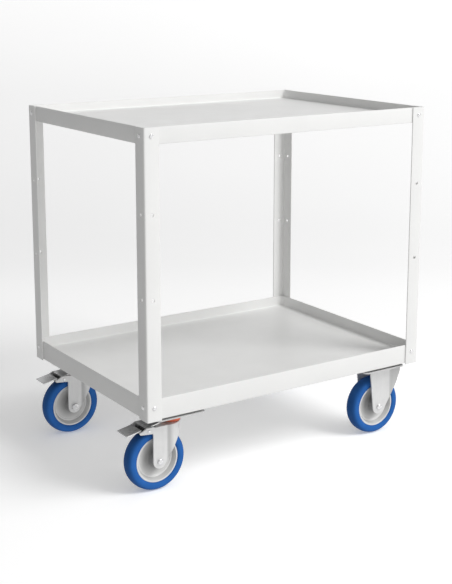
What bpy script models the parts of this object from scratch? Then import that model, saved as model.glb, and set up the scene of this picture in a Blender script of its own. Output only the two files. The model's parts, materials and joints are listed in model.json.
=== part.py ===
"""Two-tier utility cart: two folded sheet trays bolted into four angle posts, on two swivel casters with
brake pedals and two fixed casters. Metres, +Z up, -Y is the front, -X the end with the swivel casters."""

import math

import bmesh
import bpy
from mathutils import Matrix

# Frame and trays
LENGTH = 0.850  # over the posts' outer faces, along X
WIDTH = 0.620  # over the posts' outer faces, along Y
POST_LENGTH = 0.701
POST_FLANGE = 0.040
POST_THICKNESS = 0.003
POST_BEND = 0.004  # outer radius of the fold
POST_BELOW_APRON = 0.003
SPARE_HOLE_DIAMETER = 0.006
SPARE_HOLE_RISES = (0.297, 0.499)  # above the post's foot
RIM_THICKNESS = 0.003
FLOOR_THICKNESS = 0.002
TOP_APRON = 0.040
TOP_DEPTH = 0.024  # rim down to the upper tray's floor
BOTTOM_APRON = 0.051
BOTTOM_DEPTH = 0.030
SCREW_DROP = 0.020  # rim down to the screws
SCREW_DIAMETER = 0.006
SCREW_HEAD_DIAMETER = 0.0105
SCREW_HEAD_HEIGHT = 0.003
SCREW_SKIN = 0.0008  # what the screw's hole leaves of the tray's rim

# Rails between the casters and the lower tray
RAIL_HEIGHT = 0.0314
RAIL_SHEET = 0.0025
RAIL_MARGIN = 0.005  # caster plate's edge to the rail's edge
LEFT_RAIL_INSET = 0.0322  # apron's inner face to the rail
RIGHT_RAIL_INSET = 0.0122
RAIL_END_INSET = 0.0337

# Wheels and their axles
WHEEL_DIAMETER = 0.160
TYRE_THICKNESS = 0.018
TYRE_WIDTH = 0.040
TYRE_FLARE = 0.0035  # the tyre's side past the hub's rim
TYRE_SHOULDER = 0.0063  # hub's rim up to the widest part of the tyre's side
TYRE_CROWN = 0.008  # how far the tread's roundness would drop over a quarter turn
HUB_LIP = 0.004
HUB_CONE = 0.004  # lip in to the foot of the dish
HUB_DISH_DEPTH = 0.0135
HUB_WEB_THICKNESS = 0.006
HUB_BOSS_DIAMETER = 0.036
SLEEVE_DIAMETER = 0.018
AXLE_DIAMETER = 0.010
AXLE_HEAD_ACROSS = 0.017
AXLE_HEAD_HEIGHT = 0.006
AXLE_NUT_HEIGHT = 0.008
AXLE_PAST_NUT = 0.002

# Caster plates and fork legs
PLATE_LENGTH = 0.135
PLATE_WIDTH = 0.110
PLATE_THICKNESS = 0.004
PLATE_CORNER = 0.008
PLATE_INSET_Y = 0.023  # post face to the plate's edge
FORK_SHEET = 0.0035
FORK_ROOM = 0.007  # tyre's side to the leg
LEG_HALF = 0.018  # half the leg's width at the axle

# Swivel casters
TRAIL = 0.050  # kingpin to axle
TYRE_ROOM = 0.0059  # tread to the fork's crown
RACE_DIAMETER = 0.052
RACE_HEIGHT = 0.012
SEAL_DIAMETER = 0.044
SEAL_INNER_DIAMETER = 0.030
SEAL_HEIGHT = 0.0085
CROWN_SHEET = 0.004
CROWN_BACK = 0.012  # axle to the crown's back edge
KINGPIN_DIAMETER = 0.016
KINGPIN_HEAD_DIAMETER = 0.026
KINGPIN_HEAD_HEIGHT = 0.007
KINGPIN_BELOW_TOP = 0.001
FORK_BEND = 0.022  # axle to where the flange starts
FLANGE_PAST_PIN = 0.010  # kingpin to the flange's end
FLANGE_END_HALF = 0.023  # wheel's middle plane to the flange's outer face at its end
FLANGE_TURN = 54  # degrees that the flange curves through
FLANGE_DROP = 0.030  # crown's top down to the flange's lower corner
FLANGE_CUT = 0.002  # that corner's set-back from the flange's end
EAR_PAST_PIN = 0.025  # brake pin to the ear's rounded end
EAR_KNEE = 0.006  # brake pin to where the ear's top starts to fall
EAR_RISE = 0.002  # above the crown's top
EAR_END_DROP = 0.0085  # crown's top down to the middle of the rounded end
EAR_END_RADIUS = 0.0035
EAR_NECK_DROP = 0.015  # below the crown's top, at the leg

# Brake
PIN_DIAMETER = 0.006
PIN_BACK = 0.030  # axle to the pin
PIN_DROP = 0.0064  # below the crown's top
PIN_PROUD = 0.002
PEDAL_SHEET = 0.003
PEDAL_ROOM = 0.002  # leg to the pedal's side
PEDAL_FRONT = 0.032  # pin to the front edge
PEDAL_RISE = 0.0088  # pin up to the pedal's upper side
PEDAL_SLOPE = 11  # degrees, falling to the tip
PEDAL_TONGUE = 0.040  # trough to the tip
TROUGH_PAST_PIN = 0.007  # pin to the trough's front edge
TROUGH_LENGTH = 0.011
TROUGH_DEPTH = 0.008
TROUGH_RUN = 0.001  # each wall leans by this
CHEEK_SHEET = 0.003
CHEEK_RADIUS = 0.006
SHOE_LENGTH = 0.012
SHOE_WIDTH = 0.030
SHOE_ROOM = 0.0035  # above the tread with the brake off

# Fixed casters
BRACKET_LEG_BACK = 0.033
BRACKET_LEG_FRONT = 0.037  # axle to the bend
BRACKET_END_RADIUS = 0.020
BRACKET_FLANGE_MARGIN = 0.0005  # plate's end to the flange's end
BRACKET_FLANGE_DROP = 0.050  # plate down to the flange's lower corner
BRACKET_FLANGE_CUT = 0.011  # that corner's set-back from the flange's end
BRACKET_FLANGE_FOOT = 0.018  # axle up to the foot of the bend
BRACKET_FLARE = 15  # degrees that the flange turns out

# Fits
SEAT = 0.0003  # between pieces that touch
HOLE_ROOM = 0.0003  # around a pin or screw, on the radius
CUT_PAST = 0.005  # how far a cutter runs past the wall

# Facets
TYRE_STEPS = 44
HUB_STEPS = 36
ROUND_STEPS = 20
SMALL_STEPS = 12
FLANGE_STEPS = 8
HEX_SIDES = 6

# Heights, worked up from the floor
WHEEL_RADIUS = WHEEL_DIAMETER / 2
AXLE_HEIGHT = WHEEL_RADIUS
CROWN_UNDER = WHEEL_DIAMETER + TYRE_ROOM
CROWN_TOP = CROWN_UNDER + CROWN_SHEET
PIN_HEIGHT = CROWN_TOP - PIN_DROP
SEAL_FOOT = CROWN_TOP + SEAT
RACE_FOOT = SEAL_FOOT + SEAL_HEIGHT + SEAT
PLATE_UNDER = RACE_FOOT + RACE_HEIGHT
CASTER_HEIGHT = PLATE_UNDER + PLATE_THICKNESS
RAIL_FOOT = CASTER_HEIGHT + SEAT
LOWER_RIM = RAIL_FOOT + RAIL_HEIGHT + SEAT + FLOOR_THICKNESS + BOTTOM_DEPTH
POST_FOOT = LOWER_RIM - BOTTOM_APRON - POST_BELOW_APRON
UPPER_RIM = POST_FOOT + POST_LENGTH

# Places in plan
HALF_X = LENGTH / 2
HALF_Y = WIDTH / 2
TRAY_HALF_X = HALF_X - POST_THICKNESS - SEAT
TRAY_HALF_Y = HALF_Y - POST_THICKNESS - SEAT
TRAY_INNER_X = TRAY_HALF_X - RIM_THICKNESS
TRAY_INNER_Y = TRAY_HALF_Y - RIM_THICKNESS
RAIL_HALF = PLATE_LENGTH / 2 + RAIL_MARGIN
SWIVEL_X = -TRAY_INNER_X + LEFT_RAIL_INSET + RAIL_HALF
FIXED_X = TRAY_INNER_X - RIGHT_RAIL_INSET - RAIL_HALF
CASTER_Y = HALF_Y - PLATE_INSET_Y - PLATE_WIDTH / 2
LEG_INNER = TYRE_WIDTH / 2 + FORK_ROOM
LEG_OUTER = LEG_INNER + FORK_SHEET
TROUGH_BACK = TROUGH_PAST_PIN + TROUGH_LENGTH  # behind the pin
PEDAL_REACH = PIN_BACK + TROUGH_BACK + PEDAL_TONGUE
SCREW_PROUD = SEAT + SCREW_HEAD_HEIGHT
LEFT_END = min(SWIVEL_X - TRAIL - max(PEDAL_REACH, WHEEL_RADIUS), -HALF_X - SCREW_PROUD)
RIGHT_END = max(HALF_X + SCREW_PROUD, FIXED_X + WHEEL_RADIUS)
MIDDLE_X = (LEFT_END + RIGHT_END) / 2  # the model is centred on its whole length

for leftover in list(bpy.data.objects):
    bpy.data.objects.remove(leftover, do_unlink=True)

parts = bpy.data.collections.new("utility_cart")
bpy.context.scene.collection.children.link(parts)
cutters = bpy.data.collections.new("utility_cart_cutters")
bpy.context.scene.collection.children.link(cutters)
cutters.hide_render = True


def material(name, colour, roughness, metallic=0.0):
    made = bpy.data.materials.new(name)
    made.use_nodes = True
    shader = made.node_tree.nodes["Principled BSDF"]
    shader.inputs["Base Color"].default_value = (*colour, 1.0)
    shader.inputs["Roughness"].default_value = roughness
    shader.inputs["Metallic"].default_value = metallic
    return made


WHITE = material("powder_coat", (0.84, 0.84, 0.83), 0.45)
ZINC = material("zinc_plate", (0.78, 0.79, 0.79), 0.38, 0.6)
STEEL = material("steel", (0.68, 0.68, 0.68), 0.32, 0.9)
DARK_STEEL = material("brake_steel", (0.22, 0.22, 0.22), 0.42, 0.7)
BLUE = material("blue_rubber", (0.035, 0.14, 0.46), 0.5)
GREY = material("hub_plastic", (0.62, 0.63, 0.63), 0.42)
ORANGE = material("seal_plastic", (0.72, 0.15, 0.06), 0.5)
BLACK = material("shoe_rubber", (0.03, 0.03, 0.03), 0.8)


def empty(name, parent, location):
    made = bpy.data.objects.new(name, None)
    parts.objects.link(made)
    made.parent = parent
    made.location = location
    return made


def add_part(name, mesh, finish, parent, location=(0, 0, 0), rotation=(0, 0, 0)):
    made = bpy.data.objects.new(name, mesh)
    mesh.materials.append(finish)
    parts.objects.link(made)
    made.parent = parent
    made.location = location
    made.rotation_euler = rotation
    return made


def add_helper(name, mesh, finish, parent, location=(0, 0, 0), rotation=(0, 0, 0)):
    """A hidden piece for a Boolean: a cutter, or a piece to be joined to another."""
    helper = add_part(name, mesh, finish, parent, location, rotation)
    parts.objects.unlink(helper)
    cutters.objects.link(helper)
    helper.hide_render = True
    helper.display_type = "WIRE"
    return helper


def boolean(target, operation, other):
    step = target.modifiers.new(f"{operation.lower()}_{other.name}", "BOOLEAN")
    step.operation = operation
    step.object = other


def arc(centre, radius, start, end, steps):
    """Points on an arc, with its angles in degrees."""
    angles = [math.radians(start + (end - start) * i / steps) for i in range(steps + 1)]
    return [(centre[0] + radius * math.cos(a), centre[1] + radius * math.sin(a)) for a in angles]


def outline_mesh(name, points, low, high):
    """A flat outline in XY, raised from low to high along Z."""
    curve = bpy.data.curves.new(name, "CURVE")
    curve.dimensions = "2D"
    curve.fill_mode = "BOTH"
    curve.extrude = (high - low) / 2
    spline = curve.splines.new("POLY")
    spline.points.add(len(points) - 1)
    for point, (x, y) in zip(spline.points, points):
        point.co = (x, y, 0, 1)
    spline.use_cyclic_u = True
    drawn = bpy.data.objects.new(name, curve)
    cutters.objects.link(drawn)
    bpy.context.view_layer.update()
    mesh = bpy.data.meshes.new_from_object(drawn.evaluated_get(bpy.context.evaluated_depsgraph_get()))
    bpy.data.objects.remove(drawn, do_unlink=True)
    bpy.data.curves.remove(curve)
    shape = bmesh.new()
    shape.from_mesh(mesh)
    bmesh.ops.remove_doubles(shape, verts=shape.verts, dist=1e-6)
    bmesh.ops.recalc_face_normals(shape, faces=shape.faces)
    bmesh.ops.translate(shape, verts=shape.verts, vec=(0, 0, (low + high) / 2))
    shape.to_mesh(mesh)
    shape.free()
    return mesh


def upright_mesh(name, points, low, high):
    """A flat outline in XZ, running from low to high along Y."""
    mesh = outline_mesh(name, points, -high, -low)
    mesh.transform(Matrix.Rotation(math.radians(90), 4, "X"))
    return mesh


def box_mesh(name, low, high):
    size = [b - a for a, b in zip(low, high)]
    middle = [(a + b) / 2 for a, b in zip(low, high)]
    shape = bmesh.new()
    bmesh.ops.create_cube(shape, size=1, matrix=Matrix.Translation(middle) @ Matrix.Diagonal((*size, 1)))
    mesh = bpy.data.meshes.new(name)
    shape.to_mesh(mesh)
    shape.free()
    return mesh


ALONG_X = Matrix.Rotation(math.radians(90), 4, "Y")
ALONG_Y = Matrix.Rotation(math.radians(90), 4, "X")
ALONG_Z = Matrix.Identity(4)


def rods_mesh(name, rods, sides):
    """Round or many-sided bars in one mesh: (radius, centre, length, turn) each, along Z before the turn."""
    shape = bmesh.new()
    for radius, centre, length, turn in rods:
        bmesh.ops.create_cone(
            shape, cap_ends=True, segments=sides, radius1=radius, radius2=radius, depth=length,
            matrix=Matrix.Translation(centre) @ turn,
        )
    mesh = bpy.data.meshes.new(name)
    shape.to_mesh(mesh)
    shape.free()
    return mesh


def rod_mesh(name, radius, low, high, sides):
    """One upright bar from low to high."""
    return rods_mesh(name, [(radius, (0, 0, (low + high) / 2), high - low, ALONG_Z)], sides)


def turned(name, profile, steps, finish, parent, location=(0, 0, 0), rotation=(0, 0, 0), ring=False):
    """A profile of (radius, height) pairs turned about Z. A ring's profile closes on itself."""
    mesh = bpy.data.meshes.new(name)
    edges = [(i, i + 1) for i in range(len(profile) - 1)]
    if ring:
        edges.append((len(profile) - 1, 0))
    mesh.from_pydata([(radius, 0, height) for radius, height in profile], edges, [])
    made = add_part(name, mesh, finish, parent, location, rotation)
    screw = made.modifiers.new("turn", "SCREW")
    screw.axis = "Z"
    screw.steps = steps
    screw.render_steps = steps
    screw.use_merge_vertices = True
    screw.merge_threshold = 1e-5
    screw.use_smooth_shade = True
    return made


def facing(side):
    """Turns a piece's +Z to the front for side -1, and to the back for side 1."""
    return (math.radians(-90 * side), 0, 0)


cart = empty("cart", None, (-MIDDLE_X, 0, 0))
SIDES = (("front", -1), ("rear", 1))
ENDS = (("left", -1), ("right", 1))
CORNERS = [(y_name, y, x_name, x) for y_name, y in SIDES for x_name, x in ENDS]
TRAY_RIMS = (("top", UPPER_RIM), ("bottom", LOWER_RIM))


# Trays
def tray(name, rim, apron, depth):
    """A folded pan: a floor inside a rim, with the apron hanging below the floor."""
    floor_top = rim - depth
    floor_under = floor_top - FLOOR_THICKNESS
    foot = rim - apron
    mesh = box_mesh(name, (-TRAY_HALF_X, -TRAY_HALF_Y, foot), (TRAY_HALF_X, TRAY_HALF_Y, rim))
    pan = add_part(name, mesh, WHITE, cart)
    spaces = (
        (f"{name}_recess", floor_top, rim + CUT_PAST),
        (f"{name}_hollow", foot - CUT_PAST, floor_under),
    )
    for space, low, high in spaces:
        mesh = box_mesh(space, (-TRAY_INNER_X, -TRAY_INNER_Y, low), (TRAY_INNER_X, TRAY_INNER_Y, high))
        boolean(pan, "DIFFERENCE", add_helper(space, mesh, WHITE, cart))
    return pan


trays = [
    tray("top_tray", UPPER_RIM, TOP_APRON, TOP_DEPTH),
    tray("bottom_tray", LOWER_RIM, BOTTOM_APRON, BOTTOM_DEPTH),
]


# Posts
def post_outline(x, y):
    """An angle section with its outer corner at the cart's corner, its flanges running inwards."""
    bend = arc((POST_BEND, POST_BEND), POST_BEND, 180, 270, 4)
    section = bend + [
        (POST_FLANGE, 0),
        (POST_FLANGE, POST_THICKNESS),
        (POST_THICKNESS, POST_THICKNESS),
        (POST_THICKNESS, POST_FLANGE),
        (0, POST_FLANGE),
    ]
    return [(x * (HALF_X - along), y * (HALF_Y - across)) for along, across in section]


posts = []
for y_name, y, x_name, x in CORNERS:
    post_name = f"post_{y_name}_{x_name}"
    mesh = outline_mesh(post_name, post_outline(x, y), POST_FOOT, UPPER_RIM)
    posts.append(add_part(post_name, mesh, WHITE, cart))

flange_middle = POST_FLANGE / 2
screw_depth = POST_THICKNESS + SEAT + RIM_THICKNESS - SCREW_SKIN


def flange_rods(radius, height, depth):
    """Cutters into both flanges of each post at one height, to a depth below their outer faces."""
    inward = (depth - CUT_PAST) / 2
    length = depth + CUT_PAST
    rods = []
    for _, y, _, x in CORNERS:
        face = (x * (HALF_X - flange_middle), y * (HALF_Y - inward), height)
        end = (x * (HALF_X - inward), y * (HALF_Y - flange_middle), height)
        rods += [(radius, face, length, ALONG_Y), (radius, end, length, ALONG_X)]
    return rods


screw_rods = []
for _, rim in TRAY_RIMS:
    screw_rods += flange_rods(SCREW_DIAMETER / 2 + HOLE_ROOM, rim - SCREW_DROP, screw_depth)
spare_rods = []
for rise in SPARE_HOLE_RISES:
    spare_rods += flange_rods(SPARE_HOLE_DIAMETER / 2, POST_FOOT + rise, POST_THICKNESS + CUT_PAST)
screw_holes = add_helper("screw_holes", rods_mesh("screw_holes", screw_rods, SMALL_STEPS), WHITE, cart)
spare_holes = add_helper("spare_holes", rods_mesh("spare_holes", spare_rods, SMALL_STEPS), WHITE, cart)
for post in posts:
    boolean(post, "DIFFERENCE", screw_holes)
    boolean(post, "DIFFERENCE", spare_holes)
for pan in trays:
    boolean(pan, "DIFFERENCE", screw_holes)

# Screws that hold the trays, each a seat short of its blind hole's end
screw_tip = -screw_depth
screw_dome = [
    (SCREW_HEAD_DIAMETER / 2 * math.sin(math.radians(a)), SCREW_HEAD_HEIGHT * math.cos(math.radians(a)))
    for a in (0, 35, 65, 90)
]
screw_profile = screw_dome + [(SCREW_DIAMETER / 2, 0), (SCREW_DIAMETER / 2, screw_tip), (0, screw_tip)]
for level, rim in TRAY_RIMS:
    for y_name, y, x_name, x in CORNERS:
        corner = f"screw_{level}_{y_name}_{x_name}"
        height = rim - SCREW_DROP
        face = (x * (HALF_X - flange_middle), y * (HALF_Y + SEAT), height)
        end = (x * (HALF_X + SEAT), y * (HALF_Y - flange_middle), height)
        turned(f"{corner}_face", screw_profile, SMALL_STEPS, STEEL, cart, face, facing(y))
        turned(f"{corner}_end", screw_profile, SMALL_STEPS, STEEL, cart, end, (0, math.radians(90 * x), 0))


# Rails under the lower tray
def rail(name, x):
    """A channel, open upwards, whose web carries the plates of two casters."""
    inner = RAIL_HALF - RAIL_SHEET
    section = [
        (-RAIL_HALF, 0),
        (RAIL_HALF, 0),
        (RAIL_HALF, RAIL_HEIGHT),
        (inner, RAIL_HEIGHT),
        (inner, RAIL_SHEET),
        (-inner, RAIL_SHEET),
        (-inner, RAIL_HEIGHT),
        (-RAIL_HALF, RAIL_HEIGHT),
    ]
    half_length = TRAY_INNER_Y - RAIL_END_INSET
    add_part(name, upright_mesh(name, section, -half_length, half_length), WHITE, cart, (x, 0, RAIL_FOOT))


rail("caster_rail_left", SWIVEL_X)
rail("caster_rail_right", FIXED_X)


# Wheels and axles
def wheel(name, axle):
    """A dished hub and its tyre, turned about the axle."""
    rim = WHEEL_RADIUS - TYRE_THICKNESS
    half = TYRE_WIDTH / 2
    rim_half = half - TYRE_FLARE
    tread = [math.radians(a) for a in (52, 26, 0, -26, -52)]
    crown = [(WHEEL_RADIUS - TYRE_CROWN * (1 - math.cos(a)), half * math.sin(a)) for a in tread]
    inner = rim + SEAT
    widest = inner + TYRE_SHOULDER
    tyre_profile = [(inner, rim_half), (widest, half)] + crown + [(widest, -half), (inner, -rim_half)]
    turned(f"{name}_tyre", tyre_profile, TYRE_STEPS, BLUE, axle, rotation=facing(-1), ring=True)
    lip = rim - HUB_LIP
    boss = HUB_BOSS_DIAMETER / 2
    boss_half = LEG_INNER - 2 * SEAT
    bore = SLEEVE_DIAMETER / 2 + HOLE_ROOM
    half_profile = [
        (rim, -rim_half),
        (lip, -rim_half),
        (lip - HUB_CONE, -rim_half + HUB_DISH_DEPTH),
        (boss, -HUB_WEB_THICKNESS / 2),
        (boss, -boss_half),
        (bore, -boss_half),
    ]
    hub_profile = half_profile + [(radius, -height) for radius, height in reversed(half_profile)]
    turned(f"{name}_hub", hub_profile, HUB_STEPS, GREY, axle, rotation=facing(-1), ring=True)


def axle_set(name, axle, outer_side):
    """The bolt through both legs with its head on the outer side, its nut, and the sleeve on it."""
    turn = facing(outer_side)
    radius = AXLE_DIAMETER / 2
    corner = AXLE_HEAD_ACROSS / math.sqrt(3)
    leg_face = LEG_OUTER + SEAT
    nut_end = leg_face + AXLE_NUT_HEIGHT
    bolt_name = f"{name}_axle"
    head_mesh = rod_mesh(bolt_name, corner, leg_face, leg_face + AXLE_HEAD_HEIGHT, HEX_SIDES)
    bolt = add_part(bolt_name, head_mesh, STEEL, axle, rotation=turn)
    shank_name = f"{name}_shank"
    shank_mesh = rod_mesh(
        shank_name, radius, -nut_end - AXLE_PAST_NUT, leg_face + AXLE_HEAD_HEIGHT / 2, SMALL_STEPS
    )
    boolean(bolt, "UNION", add_helper(shank_name, shank_mesh, STEEL, axle, rotation=turn))
    nut_name = f"{name}_axle_nut"
    nut_mesh = rod_mesh(nut_name, corner, -nut_end, -leg_face, HEX_SIDES)
    nut = add_part(nut_name, nut_mesh, STEEL, axle, rotation=turn)
    bore_name = f"{name}_nut_bore"
    bore = radius + HOLE_ROOM
    bore_mesh = rod_mesh(bore_name, bore, -nut_end - CUT_PAST, -leg_face + CUT_PAST, SMALL_STEPS)
    boolean(nut, "DIFFERENCE", add_helper(bore_name, bore_mesh, STEEL, axle, rotation=turn))
    end = LEG_INNER - SEAT
    outer = SLEEVE_DIAMETER / 2
    sleeve_profile = [(outer, end), (outer, -end), (bore, -end), (bore, end)]
    turned(f"{name}_axle_sleeve", sleeve_profile, ROUND_STEPS, STEEL, axle, rotation=turn, ring=True)


# Pieces that both kinds of caster share
def plate_outline():
    half_x = PLATE_LENGTH / 2 - PLATE_CORNER
    half_y = PLATE_WIDTH / 2 - PLATE_CORNER
    points = []
    for x, y, start in ((1, 1, 0), (-1, 1, 90), (-1, -1, 180), (1, -1, 270)):
        points += arc((x * half_x, y * half_y), PLATE_CORNER, start, start + 90, 3)
    return points


def join_legs(target, name, parent, origin, plan, outline):
    """Adds both legs of a fork: each follows its plan, cut to the outline seen from the side."""
    reach = max(y for _, y in plan) + CUT_PAST
    heights = [z for _, z in outline]
    low = min(heights) - CUT_PAST
    high = max(heights) + CUT_PAST
    view_name = f"{name}_side_view"
    view_mesh = upright_mesh(view_name, outline, -reach, reach)
    side_view = add_helper(view_name, view_mesh, ZINC, parent, origin)
    for side_name, side in SIDES:
        leg_name = f"{name}_{side_name}_leg"
        leg_mesh = outline_mesh(leg_name, [(x, side * y) for x, y in plan], low, high)
        leg = add_helper(leg_name, leg_mesh, ZINC, parent, origin)
        boolean(leg, "INTERSECT", side_view)
        boolean(target, "UNION", leg)


def cross_hole(target, name, parent, centre, diameter):
    """Cuts a hole through both legs or cheeks, along Y."""
    reach = 2 * LEG_OUTER + 2 * CUT_PAST
    mesh = rods_mesh(name, [(diameter / 2 + HOLE_ROOM, centre, reach, ALONG_Y)], SMALL_STEPS)
    boolean(target, "DIFFERENCE", add_helper(name, mesh, ZINC, parent))


# Swivel casters
def swivel_head(name, base):
    """The plate with its ball race, and the kingpin that hangs the fork from it."""
    plate_name = f"{name}_swivel_plate"
    plate_mesh = outline_mesh(plate_name, plate_outline(), PLATE_UNDER, CASTER_HEIGHT)
    plate = add_part(plate_name, plate_mesh, ZINC, base)
    race_name = f"{name}_race"
    plate_middle = CASTER_HEIGHT - PLATE_THICKNESS / 2
    race_mesh = rod_mesh(race_name, RACE_DIAMETER / 2, RACE_FOOT, plate_middle, ROUND_STEPS)
    boolean(plate, "UNION", add_helper(race_name, race_mesh, ZINC, base))
    pin = KINGPIN_DIAMETER / 2
    hole = pin + HOLE_ROOM
    hole_name = f"{name}_kingpin_hole"
    hole_mesh = rod_mesh(hole_name, hole, RACE_FOOT - CUT_PAST, CASTER_HEIGHT + CUT_PAST, ROUND_STEPS)
    boolean(plate, "DIFFERENCE", add_helper(hole_name, hole_mesh, ZINC, base))
    head = KINGPIN_HEAD_DIAMETER / 2
    top = CASTER_HEIGHT - KINGPIN_BELOW_TOP
    head_top = CROWN_UNDER - SEAT
    foot = head_top - KINGPIN_HEAD_HEIGHT
    profile = [(0, top), (pin, top), (pin, head_top), (head, head_top), (head, foot), (0, foot)]
    turned(f"{name}_swivel_kingpin", profile, ROUND_STEPS, STEEL, base)


def fork_flange(end):
    """A fork's curved flange seen from above: its outer arc's middle, radius and angles in degrees."""
    half_turn = math.radians(FLANGE_TURN / 2)
    run = end - FORK_BEND
    drop = LEG_OUTER - FLANGE_END_HALF
    chord = math.hypot(run, drop)
    radius = chord / 2 / math.sin(half_turn)
    depth = radius * math.cos(half_turn)
    middle = (FORK_BEND + run / 2 - depth * drop / chord, LEG_OUTER - drop / 2 - depth * run / chord)
    outward = math.degrees(math.atan2(run, drop))
    return middle, radius, outward + FLANGE_TURN / 2, outward - FLANGE_TURN / 2


def swivel_fork(name, swivel):
    """Two legs under a crown that turns on the kingpin, with ears at the back for the brake pin."""
    flange_end = TRAIL + FLANGE_PAST_PIN
    ear_back = PIN_BACK + EAR_PAST_PIN
    outline = arc((0, AXLE_HEIGHT), LEG_HALF, 180, 315, 8) + [
        (flange_end - FLANGE_CUT, CROWN_TOP - FLANGE_DROP),
        (flange_end + CUT_PAST, CROWN_TOP),
        (-CROWN_BACK, CROWN_TOP),
        (-LEG_HALF, CROWN_TOP + EAR_RISE),
        (-PIN_BACK - EAR_KNEE, CROWN_TOP + EAR_RISE),
    ]
    ear_end = (EAR_END_RADIUS - ear_back, CROWN_TOP - EAR_END_DROP)
    outline += arc(ear_end, EAR_END_RADIUS, 70, 260, 6) + [(-LEG_HALF, CROWN_TOP - EAR_NECK_DROP)]
    middle, radius, first, last = fork_flange(flange_end)
    crown_half = LEG_OUTER - FORK_SHEET / 2
    crown_side = [(-TRAIL - CROWN_BACK, crown_half)]
    crown_side += arc((middle[0] - TRAIL, middle[1]), radius - FORK_SHEET / 2, first, last, FLANGE_STEPS)
    nose_x, nose_y = crown_side[-1]
    nose_angle = math.degrees(math.atan2(nose_y, nose_x))
    nose = arc((0, 0), math.hypot(nose_x, nose_y), -nose_angle, nose_angle, 8)
    crown_points = [(x, -y) for x, y in crown_side] + nose[1:-1] + crown_side[::-1]
    fork_name = f"{name}_swivel_fork"
    fork = add_part(fork_name, outline_mesh(fork_name, crown_points, CROWN_UNDER, CROWN_TOP), ZINC, swivel)
    leg_back = -ear_back - CUT_PAST
    plan = [(leg_back, LEG_OUTER)]
    plan += arc(middle, radius, first, last, FLANGE_STEPS)
    plan += arc(middle, radius - FORK_SHEET, last, first, FLANGE_STEPS)
    plan += [(FORK_BEND, LEG_INNER), (leg_back, LEG_INNER)]
    join_legs(fork, f"{name}_fork", swivel, (-TRAIL, 0, 0), plan, outline)
    hole_name = f"{name}_crown_hole"
    hole_radius = KINGPIN_DIAMETER / 2 + HOLE_ROOM
    hole_mesh = rod_mesh(hole_name, hole_radius, CROWN_UNDER - CUT_PAST, CROWN_TOP + CUT_PAST, ROUND_STEPS)
    boolean(fork, "DIFFERENCE", add_helper(hole_name, hole_mesh, ZINC, swivel))
    cross_hole(fork, f"{name}_fork_axle_hole", swivel, (-TRAIL, 0, AXLE_HEIGHT), AXLE_DIAMETER)
    cross_hole(fork, f"{name}_fork_pin_hole", swivel, (-TRAIL - PIN_BACK, 0, PIN_HEIGHT), PIN_DIAMETER)
    outer = SEAL_DIAMETER / 2
    inner = SEAL_INNER_DIAMETER / 2
    top = SEAL_FOOT + SEAL_HEIGHT
    seal_profile = [(outer, top), (outer, SEAL_FOOT), (inner, SEAL_FOOT), (inner, top)]
    turned(f"{name}_swivel_seal", seal_profile, ROUND_STEPS, ORANGE, swivel, ring=True)


def ribbon(points, thickness):
    """A bent strip seen edge on, from the points on its upper side."""
    headings = [math.atan2(b[1] - a[1], b[0] - a[0]) for a, b in zip(points, points[1:])]
    under = []
    for i, (x, z) in enumerate(points):
        before = headings[max(i - 1, 0)]
        after = headings[min(i, len(headings) - 1)]
        middle = (before + after) / 2
        offset = thickness / math.cos((after - before) / 2)
        under.append((x + offset * math.sin(middle), z - offset * math.cos(middle)))
    return points + under[::-1]


def brake(name, swivel, pedal_axis):
    """The pedal, which turns about its pin, with a trough across it and the shoe under the trough."""
    slope = math.tan(math.radians(PEDAL_SLOPE))

    def on_slope(x):
        return (x, PEDAL_RISE + x * slope)

    trough_floor = PEDAL_RISE - TROUGH_BACK * slope - TROUGH_DEPTH
    strip = [
        on_slope(-TROUGH_BACK - PEDAL_TONGUE),
        on_slope(-TROUGH_BACK),
        (-TROUGH_BACK + TROUGH_RUN, trough_floor),
        (-TROUGH_PAST_PIN - TROUGH_RUN, trough_floor),
        on_slope(-TROUGH_PAST_PIN),
        on_slope(PEDAL_FRONT),
    ]
    pedal_name = f"{name}_brake_pedal"
    half = LEG_INNER - PEDAL_ROOM
    pedal_mesh = upright_mesh(pedal_name, ribbon(strip, PEDAL_SHEET), -half, half)
    pedal = add_part(pedal_name, pedal_mesh, DARK_STEEL, pedal_axis)
    cheek_top = PEDAL_RISE - PEDAL_SHEET / 2
    cheek = arc((0, 0), CHEEK_RADIUS, 180, 360, 8) + [(CHEEK_RADIUS, cheek_top), (-CHEEK_RADIUS, cheek_top)]
    for side_name, low in (("front", -half), ("rear", half - CHEEK_SHEET)):
        cheek_name = f"{name}_{side_name}_cheek"
        cheek_mesh = upright_mesh(cheek_name, cheek, low, low + CHEEK_SHEET)
        boolean(pedal, "UNION", add_helper(cheek_name, cheek_mesh, DARK_STEEL, pedal_axis))
    cross_hole(pedal, f"{name}_pedal_hole", pedal_axis, (0, 0, 0), PIN_DIAMETER)
    pin = PIN_DIAMETER / 2
    end = LEG_OUTER + PIN_PROUD
    pin_profile = [(0, end), (pin, end), (pin, -end), (0, -end)]
    pin_place = (-TRAIL - PIN_BACK, 0, PIN_HEIGHT)
    turned(f"{name}_brake_pin", pin_profile, SMALL_STEPS, STEEL, swivel, pin_place, facing(-1))
    shoe_back = -TROUGH_PAST_PIN - SHOE_LENGTH
    tread = math.sqrt((WHEEL_RADIUS + SHOE_ROOM) ** 2 - (PIN_BACK + TROUGH_PAST_PIN) ** 2)
    sole = AXLE_HEIGHT + tread - PIN_HEIGHT
    shoe_top = trough_floor - PEDAL_SHEET - SEAT
    shoe_name = f"{name}_brake_shoe"
    half_shoe = SHOE_WIDTH / 2
    shoe_mesh = box_mesh(shoe_name, (shoe_back, -half_shoe, sole), (-TROUGH_PAST_PIN, half_shoe, shoe_top))
    add_part(shoe_name, shoe_mesh, BLACK, pedal_axis)


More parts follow.
